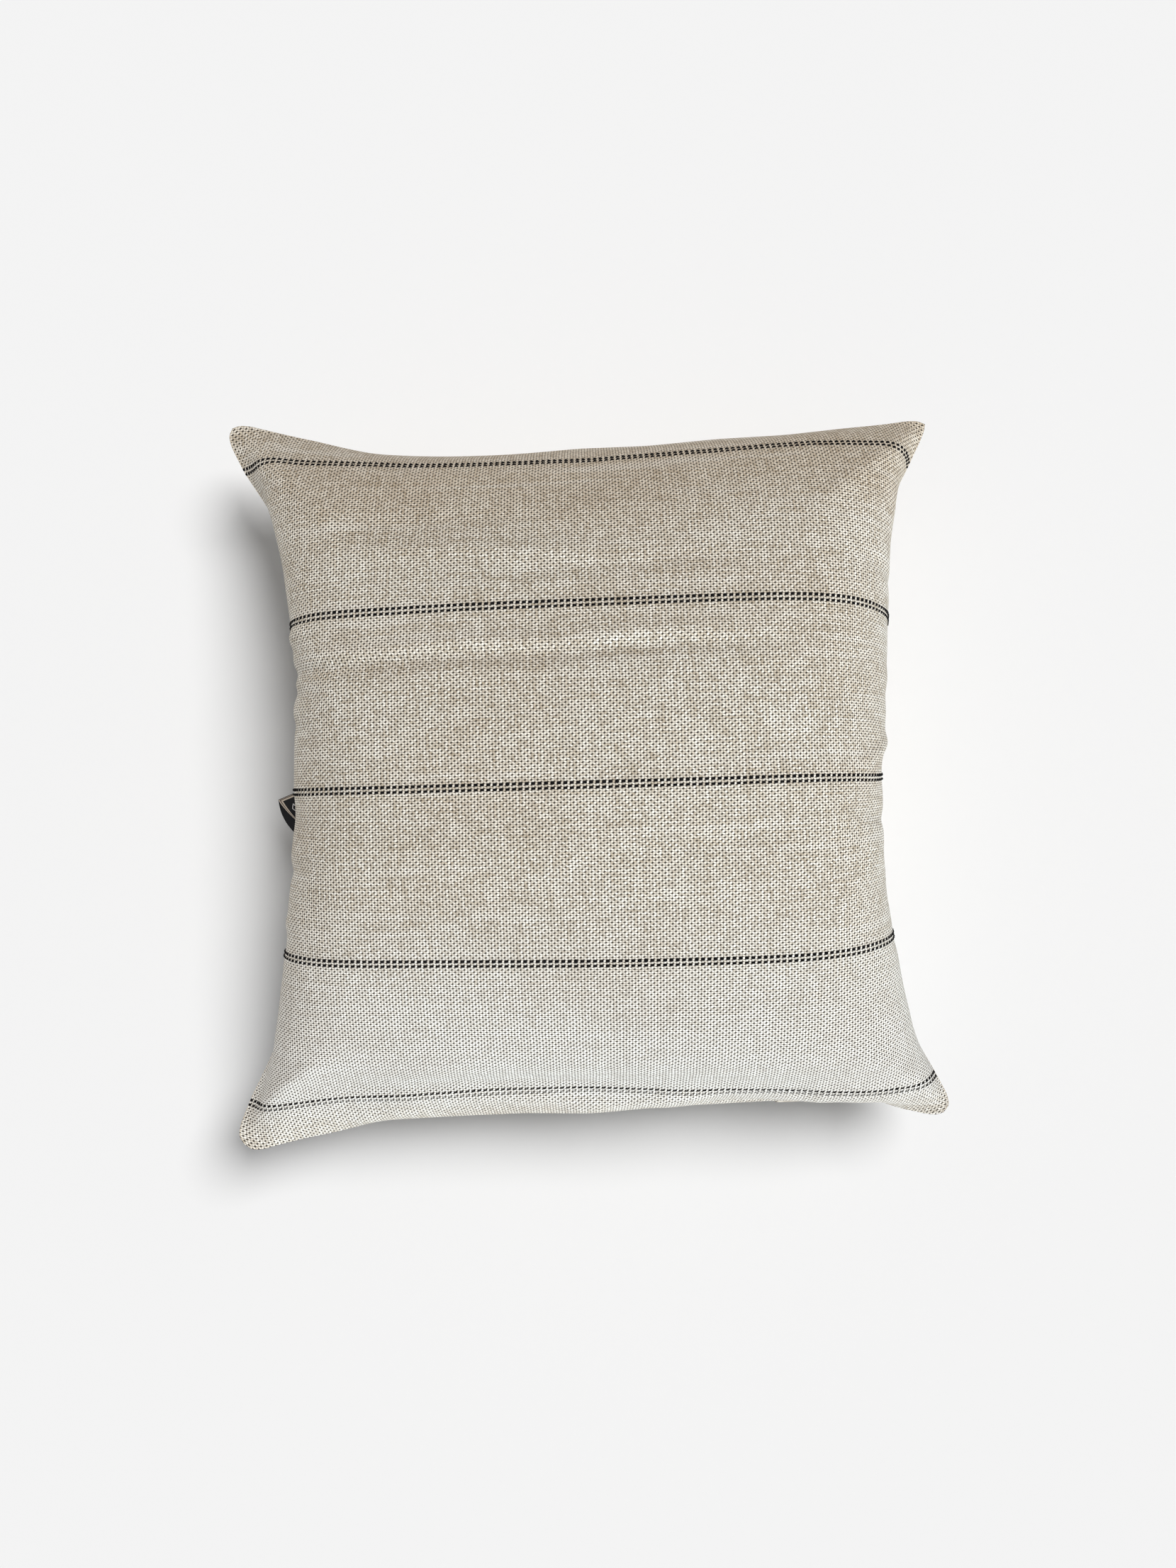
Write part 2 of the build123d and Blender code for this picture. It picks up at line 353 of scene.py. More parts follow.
def sample(grid, u, v):
    """Points of a grid at fractions u and v of it."""
    rows, columns = grid.shape[0] - 1, grid.shape[1] - 1
    x, y = np.clip(u, 0, 1) * columns, np.clip(v, 0, 1) * rows
    i, j = np.minimum(x.astype(int), columns - 1), np.minimum(y.astype(int), rows - 1)
    f, g = (x - i)[..., None], (y - j)[..., None]
    low = grid[j, i] * (1 - f) + grid[j, i + 1] * f
    high = grid[j + 1, i] * (1 - f) + grid[j + 1, i + 1] * f
    return low * (1 - g) + high * g


def soft_noise(rows, columns, shape):
    """Smooth random values over a grid of the given shape, from -1 to 1, with rows x columns bumps."""
    coarse = RANDOM.uniform(-1, 1, (rows + 1, columns + 1, 1))
    fine = refine(coarse, 8)
    v, u = np.meshgrid(np.linspace(0, 1, shape[0]), np.linspace(0, 1, shape[1]), indexing="ij")
    return sample(fine, u, v)[..., 0]


# ---------------------------------------------------------------- materials
class Nodes:
    """A short way to write a material's node tree."""

    def __init__(self, name):
        self.material = bpy.data.materials.new(name)
        self.material.use_nodes = True
        self.tree = self.material.node_tree
        self.shader = self.tree.nodes["Principled BSDF"]

    def put(self, socket, value):
        if isinstance(value, bpy.types.NodeSocket):
            self.tree.links.new(value, socket)
        elif value is not None:
            socket.default_value = value

    def math(self, operation, a, b=None, c=None, clamp=False):
        node = self.tree.nodes.new("ShaderNodeMath")
        node.operation = operation
        node.use_clamp = clamp
        for socket, value in zip(node.inputs, (a, b, c)):
            self.put(socket, value)
        return node.outputs[0]

    def vector(self, x, y, z=0.0):
        node = self.tree.nodes.new("ShaderNodeCombineXYZ")
        for socket, value in zip(node.inputs, (x, y, z)):
            self.put(socket, value)
        return node.outputs[0]

    def parts(self, vector):
        node = self.tree.nodes.new("ShaderNodeSeparateXYZ")
        self.put(node.inputs[0], vector)
        return node.outputs

    def attribute(self, name):
        node = self.tree.nodes.new("ShaderNodeAttribute")
        node.attribute_name = name
        return node.outputs["Vector"]

    def place(self):
        return self.tree.nodes.new("ShaderNodeTexCoord").outputs["Object"]

    def noise(self, vector, scale, detail=2.0, roughness=0.5):
        node = self.tree.nodes.new("ShaderNodeTexNoise")
        self.put(node.inputs["Vector"], vector)
        node.inputs["Scale"].default_value = scale
        node.inputs["Detail"].default_value = detail
        node.inputs["Roughness"].default_value = roughness
        return node.outputs[0]

    def white(self, value):
        node = self.tree.nodes.new("ShaderNodeTexWhiteNoise")
        node.noise_dimensions = "1D"
        self.put(node.inputs["W"], value)
        return node.outputs["Value"]

    def smooth(self, value, low, high, bottom=0.0, top=1.0):
        node = self.tree.nodes.new("ShaderNodeMapRange")
        node.interpolation_type = "SMOOTHSTEP"
        for socket, setting in zip(node.inputs, (value, low, high, bottom, top)):
            self.put(socket, setting)
        return node.outputs[0]

    def mix(self, factor, a, b, blend="MIX"):
        node = self.tree.nodes.new("ShaderNodeMix")
        node.data_type = "RGBA"
        node.blend_type = blend
        self.put(node.inputs["Factor"], factor)
        for socket, value in ((node.inputs[6], a), (node.inputs[7], b)):
            self.put(socket, (*value, 1.0) if isinstance(value, tuple) else value)
        return node.outputs[2]

    def bump(self, height, strength, distance):
        node = self.tree.nodes.new("ShaderNodeBump")
        node.inputs["Strength"].default_value = strength
        node.inputs["Distance"].default_value = distance
        self.put(node.inputs["Height"], height)
        self.tree.links.new(node.outputs[0], self.shader.inputs["Normal"])

    def finish(self, colour, roughness, sheen=0.0, metallic=0.0, specular=0.5):
        self.put(self.shader.inputs["Base Color"], (*colour, 1.0) if isinstance(colour, tuple) else colour)
        self.put(self.shader.inputs["Roughness"], roughness)
        self.shader.inputs["Sheen Weight"].default_value = sheen
        self.shader.inputs["Metallic"].default_value = metallic
        self.shader.inputs["Specular IOR Level"].default_value = specular
        return self.material


def plain_weave(n, u, v):
    """Height of a plain weave of unit yarns, and a mask that is one where a weft yarn is on top."""
    across = n.math("SINE", n.math("MULTIPLY", u, math.pi))
    along = n.math("SINE", n.math("MULTIPLY", v, math.pi))
    warp_round = n.math("POWER", n.math("ABSOLUTE", across), 0.55)
    weft_round = n.math("POWER", n.math("ABSOLUTE", along), 0.55)
    warp_wave = n.math("MULTIPLY_ADD", n.math("MULTIPLY", n.math("SIGN", across), along), 0.5, 0.5)
    weft_wave = n.math("MULTIPLY_ADD", n.math("MULTIPLY", n.math("SIGN", along), across), -0.5, 0.5)
    warp = n.math("MULTIPLY", warp_round, warp_wave)
    weft = n.math("MULTIPLY", weft_round, weft_wave)
    height = n.math("MAXIMUM", warp, weft)
    return height, n.math("GREATER_THAN", weft, warp)


def cover_cloth():
    """Coarse cotton and linen plain weave, uneven in yarn thickness and colour, with black weft rows.
    Painted shade darkens its gaps and its top edge, and painted light pales it towards the bottom edge.
    """
    n = Nodes("cover_cloth")
    u, v, _ = n.parts(n.attribute("fabric"))
    sway = n.noise(n.vector(n.math("MULTIPLY", u, 0.11), n.math("MULTIPLY", v, 0.11)), 1.0, 2.0)
    drift = n.math("MULTIPLY_ADD", sway, 0.5, -0.25)
    uu, vv = n.math("ADD", u, drift), n.math("ADD", v, drift)
    height, weft_on_top = plain_weave(n, uu, vv)

    # each yarn has its own shade, which drifts along its length
    warp_number, weft_number = n.math("FLOOR", uu), n.math("FLOOR", vv)
    along_warp = n.vector(n.math("MULTIPLY", warp_number, 7.3), n.math("MULTIPLY", v, 0.09))
    along_weft = n.vector(n.math("MULTIPLY", u, 0.07), n.math("MULTIPLY", weft_number, 5.7))
    warp_shade = n.noise(along_warp, 1.0, 3.0, 0.65)
    weft_shade = n.noise(along_weft, 1.0, 3.0, 0.65)
    weft_yarn = n.mix(n.smooth(weft_shade, 0.32, 0.62), (0.66, 0.59, 0.48), (0.92, 0.89, 0.82))
    warp_yarn = n.mix(n.smooth(warp_shade, 0.32, 0.62), (0.66, 0.60, 0.50), (0.90, 0.88, 0.82))
    yarn = n.mix(weft_on_top, warp_yarn, weft_yarn)
    crossing = n.white(n.math("MULTIPLY_ADD", warp_number, 17.31, n.math("MULTIPLY", weft_number, 91.73)))
    yarn = n.mix(n.smooth(crossing, 0.0, 0.8, 0.40, 0.0), yarn, (0.42, 0.36, 0.28), "MULTIPLY")

    # broad patches: warmer and greyer areas at random, painted warm shade towards the top edge, and pale
    # bands across
    patch = n.noise(n.vector(n.math("MULTIPLY", u, 0.016), n.math("MULTIPLY", v, 0.020)), 1.0, 2.0, 0.5)
    yarn = n.mix(n.smooth(patch, 0.42, 0.66, 0.0, 0.18), yarn, (0.66, 0.54, 0.42), "MULTIPLY")
    # painted shade: darker and warmer towards the top edge, most from a third of the way across, for the
    # slope that faces away from the window light
    painted_shade_at_top = n.smooth(v, 0.76 * WEFTS, 0.93 * WEFTS)
    painted_top_shade = n.math("MULTIPLY", painted_shade_at_top, n.smooth(u, 0.0, 0.35 * WARPS, 0.10, 0.36))
    yarn = n.mix(painted_top_shade, yarn, (0.72, 0.58, 0.42), "MULTIPLY")
    band = n.noise(n.vector(n.math("MULTIPLY", u, 0.010), n.math("MULTIPLY", v, 0.20)), 1.0, 2.0)
    yarn = n.mix(n.smooth(band, 0.54, 0.70, 0.0, 0.35), yarn, (0.95, 0.93, 0.88))
    # painted light: paler and cooler towards the bottom edge, a little less right at the seam, for the
    # window light on the slope that faces it
    painted_light_low = n.smooth(v, 0.42 * WEFTS, 0.10 * WEFTS)
    painted_bottom_light = n.math("MULTIPLY", painted_light_low, n.smooth(v, 0.0, 0.07 * WEFTS, 0.3, 1.0))
    yarn = n.mix(n.math("MULTIPLY", painted_bottom_light, 0.45), yarn, (0.90, 0.93, 0.95))

    # black rows: the rows on each side of a stripe's middle row
    from_stripe = n.math("SUBTRACT", weft_number, FIRST_STRIPE_ROW - 1.0)
    place = n.math("FLOORED_MODULO", from_stripe, float(STRIPE_ROWS))
    black = n.math("COMPARE", n.math("ABSOLUTE", n.math("SUBTRACT", place, 1.0)), 1.0, 0.1)
    # painted light: the black of the bottom stripe's rows is faded to a quarter, for the glare on the
    # bright slope by the bottom edge
    black = n.math("MULTIPLY", n.math("MULTIPLY", black, weft_on_top), n.smooth(v, 22.0, 40.0, 0.25, 1.0))
    yarn = n.mix(black, yarn, (0.012, 0.011, 0.012))

    # painted shade: the gaps between the yarns are painted dark brown. The yarns' twist and the light from
    # one side close these gaps along one diagonal and open them along the other
    lean_and_light = n.math("COSINE", n.math("MULTIPLY", n.math("SUBTRACT", uu, vv), math.pi))
    painted_gap_shade = n.smooth(n.math("MULTIPLY_ADD", lean_and_light, 0.22, height), 0.35, 0.70)
    colour = n.mix(painted_gap_shade, (0.050, 0.040, 0.030), yarn)
    fluff = n.noise(n.vector(n.math("MULTIPLY", u, 3.1), n.math("MULTIPLY", v, 3.7)), 1.0, 3.0, 0.7)
    bumps = n.math("MULTIPLY_ADD", fluff, 0.22, height)
    n.bump(bumps, 0.75, 0.0007)
    rough = n.smooth(fluff, 0.2, 0.8, 0.78, 0.98)
    return n.finish(colour, rough, sheen=0.12, specular=0.2)


def black_yarn():
    """Loose black weft yarn with paler hairs."""
    n = Nodes("black_yarn")
    u, v, _ = n.parts(n.attribute("fabric"))
    twist = n.noise(n.vector(n.math("MULTIPLY", u, 2.4), n.math("MULTIPLY", v, 5.0)), 1.0, 3.0, 0.7)
    colour = n.mix(n.smooth(twist, 0.45, 0.8), (0.004, 0.004, 0.005), (0.030, 0.027, 0.025))
    n.bump(twist, 0.5, 0.0002)
    return n.finish(colour, n.smooth(twist, 0.3, 0.7, 0.75, 0.95), specular=0.1)


def twisted_thread(name, dark, light):
    """Spun sewing thread: fine slanting plies."""
    n = Nodes(name)
    x, y, z = n.parts(n.place())
    plies = n.math("SINE", n.math("MULTIPLY", n.math("ADD", n.math("ADD", x, y), z), 9000.0))
    speckle = n.noise(n.place(), 900.0, 2.0)
    colour = n.mix(n.smooth(speckle, 0.3, 0.7), dark, light)
    n.bump(plies, 0.3, 0.0001)
    return n.finish(colour, n.smooth(speckle, 0.2, 0.8, 0.5, 0.75), sheen=0.1)


def tape_cloth():
    """Fine twill of a zip tape."""
    n = Nodes("zip_tape_cloth")
    x, y, z = n.parts(n.place())
    twill = n.math("SINE", n.math("MULTIPLY", n.math("ADD", x, n.math("MULTIPLY", z, 1.4)), 7500.0))
    speckle = n.noise(n.place(), 420.0, 3.0)
    base = n.mix(n.smooth(speckle, 0.3, 0.7), (0.56, 0.50, 0.40), (0.68, 0.62, 0.52))
    # painted shade: the twill's grooves are darker
    colour = n.mix(n.smooth(twill, -1.0, 0.2), (0.36, 0.31, 0.24), base)
    n.bump(twill, 0.4, 0.0002)
    return n.finish(colour, n.smooth(speckle, 0.2, 0.8, 0.7, 0.9), sheen=0.1)


def moulded_coil():
    """Slightly glossy nylon, a little uneven in colour."""
    n = Nodes("nylon_coil")
    speckle = n.noise(n.place(), 260.0, 3.0)
    colour = n.mix(n.smooth(speckle, 0.3, 0.7), (0.55, 0.47, 0.36), (0.68, 0.61, 0.49))
    n.bump(speckle, 0.15, 0.0001)
    return n.finish(colour, n.smooth(speckle, 0.2, 0.8, 0.28, 0.5))


def aged_metal():
    """Nickel-plated zinc with fine scratches and duller patches."""
    n = Nodes("zip_metal")
    x, y, z = n.parts(n.place())
    drawn_out = n.vector(n.math("MULTIPLY", x, 60.0), n.math("MULTIPLY", y, 900.0), z)
    scratch = n.noise(drawn_out, 4.0, 3.0, 0.7)
    cloud = n.noise(n.place(), 190.0, 3.0)
    colour = n.mix(n.smooth(cloud, 0.35, 0.7), (0.40, 0.37, 0.32), (0.62, 0.59, 0.53))
    rough = n.math("ADD", n.smooth(cloud, 0.3, 0.7, 0.24, 0.42), n.math("MULTIPLY", scratch, 0.12))
    n.bump(scratch, 0.12, 0.0001)
    return n.finish(colour, rough, metallic=1.0)


def fine_cotton():
    """Thin white cotton of the inner pillow."""
    n = Nodes("casing_cotton")
    u, v, _ = n.parts(n.attribute("fabric"))
    height, _ = plain_weave(n, n.math("MULTIPLY", u, 4.0), n.math("MULTIPLY", v, 3.2))
    slub = n.noise(n.vector(n.math("MULTIPLY", u, 0.5), n.math("MULTIPLY", v, 0.4)), 1.0, 3.0)
    bright = n.mix(n.smooth(slub, 0.3, 0.7), (0.78, 0.77, 0.73), (0.86, 0.85, 0.82))
    # painted shade: the low places of the weave, between the yarns, are darker
    colour = n.mix(n.smooth(height, 0.2, 0.7), (0.55, 0.53, 0.49), bright)
    n.bump(height, 0.4, 0.0002)
    return n.finish(colour, n.smooth(slub, 0.2, 0.8, 0.75, 0.92), sheen=0.1)


def loose_fibre():
    """White polyester fibre in tangled clumps."""
    n = Nodes("polyester_fibre")
    clump = n.noise(n.place(), 45.0, 4.0, 0.6)
    strand = n.noise(n.place(), 700.0, 5.0, 0.8)
    colour = n.mix(n.smooth(clump, 0.3, 0.7), (0.74, 0.75, 0.76), (0.90, 0.90, 0.90))
    n.bump(n.math("MULTIPLY_ADD", strand, 0.5, clump), 0.7, 0.002)
    return n.finish(colour, n.smooth(strand, 0.2, 0.8, 0.6, 0.9), sheen=0.4)


def label_tape():
    """Black woven tape with a pale frame and a plain diamond figure."""
    n = Nodes("label_tape")
    p, q, layer = n.parts(n.attribute("tape"))
    rib = n.math("SINE", n.math("MULTIPLY", p, 260.0))
    fine = n.vector(n.math("MULTIPLY", p, 40.0), n.math("MULTIPLY", q, 22.0), layer)
    speckle = n.noise(fine, 1.0, 3.0, 0.7)
    from_side = n.math("MINIMUM", q, n.math("SUBTRACT", 1.0, q))
    inset = n.math("MINIMUM", from_side, n.math("MULTIPLY", p, 1.3))
    frame_band = n.math("SUBTRACT", 1.0, n.smooth(inset, 0.12, 0.15))
    pin_line = n.math("COMPARE", inset, 0.06, 0.02)
    off_along = n.math("ABSOLUTE", n.math("SUBTRACT", p, 0.45))
    off_across = n.math("ABSOLUTE", n.math("SUBTRACT", q, 0.5))
    diamond = n.math("ADD", off_along, off_across)
    figure = n.math("COMPARE", diamond, 0.13, 0.022)
    ground = n.mix(n.smooth(speckle, 0.3, 0.75), (0.003, 0.003, 0.004), (0.012, 0.013, 0.017))
    pale = n.mix(n.smooth(speckle, 0.3, 0.7), (0.36, 0.31, 0.26), (0.50, 0.45, 0.39))
    on_top = n.math("LESS_THAN", layer, 0.5)
    colour = n.mix(n.math("MULTIPLY", frame_band, on_top), ground, pale)
    colour = n.mix(n.math("MULTIPLY", pin_line, on_top), colour, (0.09, 0.075, 0.07))
    colour = n.mix(n.math("MULTIPLY", figure, on_top), colour, (0.50, 0.50, 0.52))
    n.bump(n.math("MULTIPLY_ADD", speckle, 0.5, rib), 0.25, 0.0001)
    return n.finish(colour, n.smooth(speckle, 0.2, 0.8, 0.5, 0.75), specular=0.15)


def studio_floor():
    """Plain pale paper, a little uneven in roughness."""
    n = Nodes("studio_floor")
    grain = n.noise(n.place(), 3.0, 2.0)
    return n.finish((0.90, 0.90, 0.90), n.smooth(grain, 0.3, 0.7, 0.92, 1.0), specular=0.0)


# ---------------------------------------------------------------- cloth simulation
def sewn_patch(up):
    """A Coons patch between a panel's four sewn edges, at the height of its seam."""
    a = np.linspace(0.0, 1.0, CELLS + 1)
    u, v = np.meshgrid(a, a, indexing="xy")
    edge = {name: seam_line(name, a, up) for name in SIDES}
    u3, v3 = u[..., None], v[..., None]
    patch = (1 - v3) * edge["bottom"][None] + v3 * edge["top"][None]
    patch += (1 - u3) * edge["left"][:, None] + u3 * edge["right"][:, None]
    patch -= (1 - v3) * ((1 - u3) * edge["bottom"][0] + u3 * edge["bottom"][-1])
    patch -= v3 * ((1 - u3) * edge["top"][0] + u3 * edge["top"][-1])
    return u, v, patch


def flat_cut(up):
    """The panel laid flat, with edges as long as the sewn sides and a middle as wide as its cut."""
    a = np.linspace(0.0, 1.0, CELLS + 1)
    u, v = np.meshgrid(a, a, indexing="xy")
    length = {name: side_length(name) for name in SIDES}
    width = length["bottom"] * (1 - v) + length["top"] * v
    depth = length["left"] * (1 - u) + length["right"] * u
    width += (CUT_ACROSS - (length["bottom"] + length["top"]) / 2) * hump(v, 3)
    depth += (CUT_ALONG - (length["left"] + length["right"]) / 2 + CUT_TAPER * (2 * u - 1)) * hump(u, 3)
    return np.stack([(u - 0.5) * width, (v - 0.5) * depth, np.full_like(u, SEAM_Z + up * 0.0005)], -1)


def rough_dome(up):
    """An even dome on the sewn outline: the shape that the seam is drawn in to."""
    u, v, patch = sewn_patch(up)
    rise = CROWN_RISE if up > 0 else -BELLY_DROP
    patch[..., 2] += rise * np.sqrt(np.clip(16 * u * (1 - u) * v * (1 - v), 0, 1))
    return patch


def start_cloth(name, up):
    """A flat-cut panel whose edge is drawn in to the sewn outline while the filling swells it."""
    flat = flat_cut(up)
    piece = add_mesh(name, flat, grid_faces(CELLS + 1, CELLS + 1, up < 0), None)
    piece.shape_key_add(name="cut")
    sewn = piece.shape_key_add(name="sewn")
    sewn.data.foreach_set("co", rough_dome(up).reshape(-1).astype(np.float32))
    for value, moment in ((0.0, 1), (1.0, DRAW_FRAMES)):
        sewn.value = value
        sewn.keyframe_insert("value", frame=moment)
    index = np.arange((CELLS + 1) ** 2).reshape(CELLS + 1, CELLS + 1)
    edge = np.ones_like(index, bool)
    edge[1:-1, 1:-1] = False
    piece.vertex_groups.new(name="seam").add(index[edge].tolist(), 1.0, "REPLACE")
    filling = piece.vertex_groups.new(name="filling")
    u, v, _ = sewn_patch(up)
    push = 1.0 - (1.0 - CROWN_PUSH) * hump(u) * hump(v)
    for point, weight in enumerate(push.reshape(-1).tolist()):
        filling.add([point], weight, "REPLACE")
    cloth = piece.modifiers.new("cloth", "CLOTH")
    settings = cloth.settings
    settings.quality = 6
    settings.mass = 0.01
    settings.air_damping = 2
    settings.tension_stiffness = 150
    settings.compression_stiffness = 40
    settings.shear_stiffness = 10
    settings.bending_stiffness = 30
    settings.tension_damping = 5
    settings.compression_damping = 5
    settings.shear_damping = 3
    settings.bending_damping = 0.5
    settings.use_pressure = True
    settings.uniform_pressure_force = PRESSURE
    settings.vertex_group_pressure = "filling"
    settings.vertex_group_mass = "seam"
    settings.effector_weights.gravity = 0
    cloth.collision_settings.use_self_collision = False
    cloth.collision_settings.use_collision = up < 0
    cloth.collision_settings.distance_min = 0.001
    cloth.point_cache.frame_start = 1
    cloth.point_cache.frame_end = SETTLE_FRAMES
    return piece


def read_grid(piece):
    """A simulated panel's points, as a grid."""
    evaluated = piece.evaluated_get(bpy.context.evaluated_depsgraph_get())
    mesh = evaluated.to_mesh()
    points = np.zeros(len(mesh.vertices) * 3, np.float32)
    mesh.vertices.foreach_get("co", points)
    evaluated.to_mesh_clear()
    return points.reshape(CELLS + 1, CELLS + 1, 3).astype(float)


def relax(grid):
    """Eases out the smallest creases, and leaves the seam where it is."""
    for _ in range(SMOOTHING_PASSES):
        for axis in (0, 1):
            g = np.moveaxis(grid, axis, 0)
            mean = (g[:-2] + 2 * g[1:-1] + g[2:]) / 4
            fixed = g.copy()
            fixed[1:-1, 1:-1] = mean[:, 1:-1]
            grid = np.moveaxis(fixed, 0, axis)
    return grid


def filled_panels(rest_plane):
    """The front and back panels, filled: simulated grids of points."""
    trials = start_cloth("front_trial", 1), start_cloth("back_trial", -1)
    rest_plane.modifiers.new("rest", "COLLISION")
    rest_plane.collision.thickness_outer = 0.001
    for moment in range(1, SETTLE_FRAMES + 1):
        bpy.context.scene.frame_set(moment)
    grids = [relax(read_grid(piece)) for piece in trials]
    for piece in trials:
        bpy.data.objects.remove(piece, do_unlink=True)
    rest_plane.modifiers.clear()
    bpy.context.scene.frame_set(1)
    return grids


# ---------------------------------------------------------------- cover
def fractions(shape):
    """Each point's place across and up a panel's grid, from 0 to 1."""
    v, u = np.meshgrid(np.linspace(0, 1, shape[0]), np.linspace(0, 1, shape[1]), indexing="ij")
    return u, v


def fold(grid, up, folds):
    """Adds the cloth's unevenness, the puckers along its four sides and the given soft folds."""
    shape = grid.shape[:2]
    u, v = fractions(shape)
    inner = hump(u, 6) * hump(v, 6)
    across = soft_noise(26, 5, shape)
    broad = soft_noise(7, 6, shape)
    side_pucker = soft_noise(44, 18, shape) * (np.exp(-u / 0.07) + np.exp(-(1 - u) / 0.07))
    end_pucker = soft_noise(18, 40, shape) * (np.exp(-v / 0.06) + np.exp(-(1 - v) / 0.06))
    seam_hold = np.clip(np.minimum(np.minimum(u, 1 - u), np.minimum(v, 1 - v)) / 0.02, 0, 1)
    depth = 0.0005 * across * inner + 0.0010 * broad * inner
    depth += (0.0010 * side_pucker + 0.0005 * end_pucker) * seam_hold
    waver = 0.004 * soft_noise(9, 9, shape)
    for place_u, place_v, length, width, turn, height in folds:
        angle = math.radians(turn)
        along = (u - place_u) * math.cos(angle) + (v - place_v) * math.sin(angle)
        beside = (v - place_v) * math.cos(angle) - (u - place_u) * math.sin(angle) + waver
        ridge = np.exp(-((along / length) ** 4) - (beside / width) ** 2)
        depth += 0.001 * height * ridge * seam_hold
    return grid + grid_normals(grid, up) * depth[..., None]


def bow_weave(grid):
    """The same surface with its rows of weave moved a little towards the bottom edge."""
    u, v = fractions(grid.shape[:2])
    lip = LIP_PULL * hump(u, 4) * np.exp(-(((v - 0.065) / 0.045) ** 2)) * np.clip(v / 0.03, 0, 1)
    return sample(grid, u, v - WEFT_BOW * np.sin(math.pi * v) + lip)


def mark_fabric(piece, shape):
    """Writes each point's place in the weave, counted in warp and weft yarns."""
    u, v = fractions(shape)
    write_layer(piece, "fabric", np.stack([u * WARPS, v * WEFTS, np.zeros_like(u)], -1))


def panel(name, grid, up, material, node):
    piece = add_mesh(name, grid, grid_faces(*grid.shape[:2], up < 0), material, "cover")
    mark_fabric(piece, grid.shape[:2])
    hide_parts(node)


def stripe_yarns(name, grid, up, material):
    """The black weft yarns of one panel: each rises over one warp and dips under the next."""
    normals = grid_normals(grid, up)
    u = np.linspace(0.001, 0.999, WARPS * 4 + 1)
    bundle = Bundle()
    places = []
    for stripe in range(STRIPES):
        for half_width, row in zip(YARN_HALF_WIDTHS, (1, -1)):
            weft = FIRST_STRIPE_ROW + STRIPE_ROWS * stripe + row
            v = np.full_like(u, (weft + 0.5) / WEFTS)
            path = sample(grid, u, v)
            over = unit(sample(normals, u, v))
            along = unit(np.gradient(path, axis=0))
            slub = np.interp(u, np.linspace(0, 1, 130), RANDOM.uniform(0.72, 1.12, 130))
            slub += 0.4 * (np.interp(u, np.linspace(0, 1, 220), RANDOM.uniform(0, 1, 220)) > 0.92)
            slub *= 1 - (stripe == 0) * (0.45 if row > 0 else 0.68) * hump(u, 8)
            width = half_width * slub
            high = YARN_FLATNESS * half_width * slub
            lift = -YARN_DIP * np.cos(math.pi * DASH_SHARE) - high
            phase = math.pi * (u * WARPS - 0.5 - (weft + 1) % 2)
            path = path + over * (lift + YARN_DIP * np.cos(phase))[:, None]
            bundle.add(tube_points(path, np.cross(over, along), over, width, high, 6))
            places.append(np.repeat(np.stack([u * WARPS, v * WEFTS, 0 * u], -1), 6, axis=0))
    piece = bundle.build(name, material, "cover")
    write_layer(piece, "fabric", np.concatenate(places))


def grid_edge(grid, sides):
    """Points along some sides of a panel, taken in turn: up the left, across the top and down the right."""
    runs = {"left": grid[:, 0], "top": grid[-1], "right": grid[::-1, -1], "bottom": grid[0, ::-1]}
    return np.concatenate([runs[name][:-1] for name in sides])


def seam_thread(name, edge, material, node, closed_loop=False):
    """Lockstitch along a seam: the thread dips in and out at every stitch."""
    stations = np.arange(len(edge))
    steps = np.linspace(0, len(edge) - 1, 2000)
    route = np.stack([np.interp(steps, stations, edge[:, axis]) for axis in range(3)], -1)
    route[:, :2] *= THREAD_INSET
    route[:, 2] += STITCH_DEPTH * np.cos(np.arange(len(route)) * math.pi / 2)
    rings = bare_tube(route, THREAD_RADIUS, 5)
    piece = add_mesh(name, rings, tube_faces(len(route), 5, closed=closed_loop), material, "cover")
    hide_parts(node)


# ---------------------------------------------------------------- zip
def hem(name, up, material):
    """The cloth's edge beside the zip, turned in and laid on the tape."""
    profile_y = np.array((0.0010, 0.0016, 0.0026, 0.0033, 0.00345, 0.00345))
    profile_z = np.array((0.0048, 0.00465, 0.00465, 0.0050, 0.0058, 0.0071))
    u = np.linspace(SLIT[0] + SLIT_BLEND, SLIT[1] - SLIT_BLEND, 240)
    edge = seam_line("bottom", u, up)
    start = zip_points(0.0, profile_y[0], up * profile_z[0])
    offsets = zip_points(0.0, profile_y, up * profile_z) - start
    points = edge[:, None] + offsets[None]
    piece = add_mesh(name, points, grid_faces(len(u), len(profile_y), up > 0), material, "cover")
    rows = np.arange(len(profile_y))[None] * 0.9
    write_layer(piece, "fabric", np.stack(np.broadcast_arrays(u[:, None] * WARPS, rows, 0.0), -1))


def zip_tape(name, up, material, node):
    """A woven tape with a thick cord edge next to the coil."""
    z = np.array((0.0008, 0.0011, 0.0018, 0.0022, 0.0050, 0.0069, 0.0072))
    thick = np.array((0.00018, 0.0003, 0.0003, 0.0002, 0.0002, 0.00026, 0.00012))
    middle = sum(TAPE_Y) / 2
    y = np.concatenate([middle - thick, (middle + thick)[::-1]])
    z = np.concatenate([z, z[::-1]])
    x = np.linspace(-ZIP_HALF_LENGTH, ZIP_HALF_LENGTH, 120)
    rings = zip_points(x[:, None], y[None], up * z[None])
    faces = tube_faces(len(x), len(y))
    if up > 0:
        faces = [face[::-1] for face in faces]
    piece = add_mesh(name, rings, faces, material, "cover")
    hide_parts(node)


